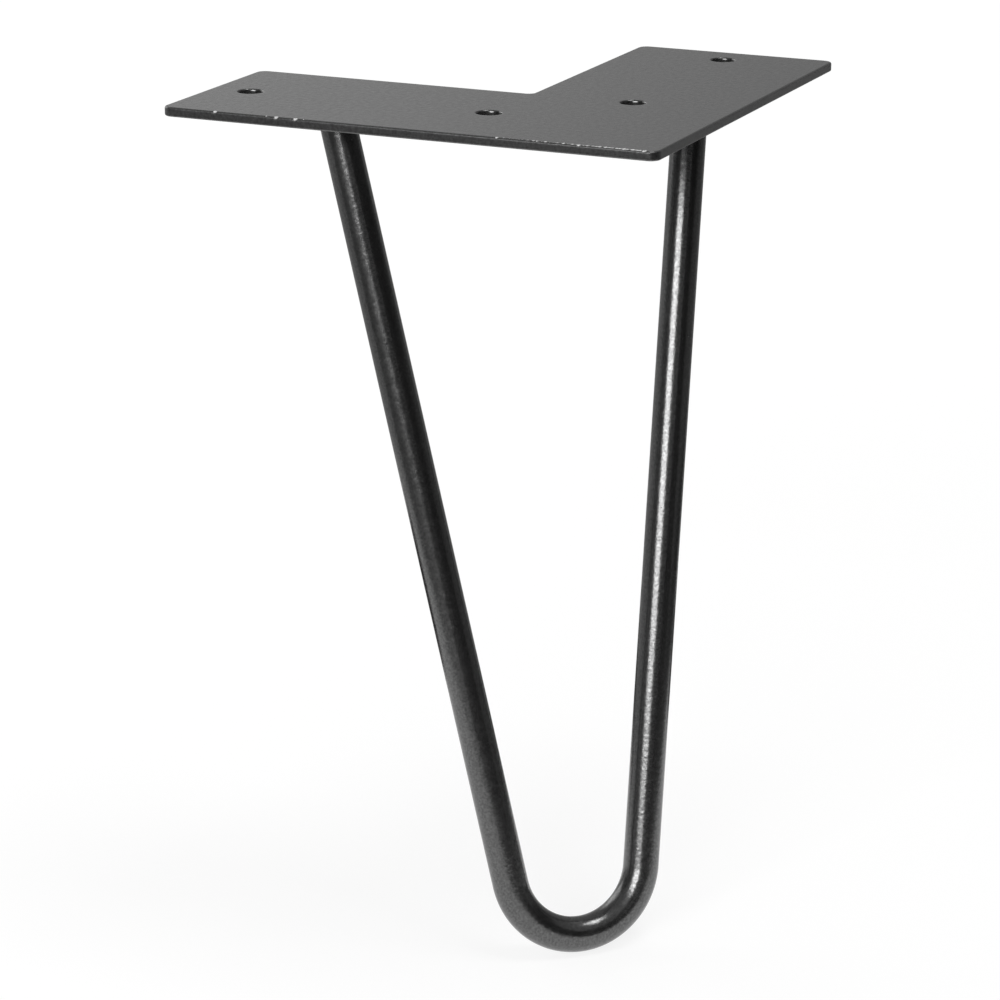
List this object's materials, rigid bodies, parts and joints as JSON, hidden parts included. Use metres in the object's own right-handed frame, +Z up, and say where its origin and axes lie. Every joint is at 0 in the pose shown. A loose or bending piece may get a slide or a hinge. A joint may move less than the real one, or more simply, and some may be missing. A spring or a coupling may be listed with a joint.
{
  "type": "hairpin table leg",
  "caption": "Low furniture leg: a round steel bar bent into a leaning hairpin and welded under an L-shaped plate that screws to the underside of a table top, coated satin black.",
  "frame": {"origin": "on the plate's top face, where the centre lines of its two arms cross", "axes": "+X out along one arm, +Y out along the other arm, +Z up into the table top; the foot is straight below the origin"},
  "size_m": [0.12, 0.12, 0.2],
  "materials": {
    "powder_coat": "satin black powder coat with a fine orange peel, chipped along the plate's edges"
  },
  "bodies": {
    "root": {"mounting_plate": "powder_coat", "hairpin_rod": "powder_coat", "weld_bead_x_arm": "powder_coat", "weld_bead_y_arm": "powder_coat"}
  },
  "joints": []
}
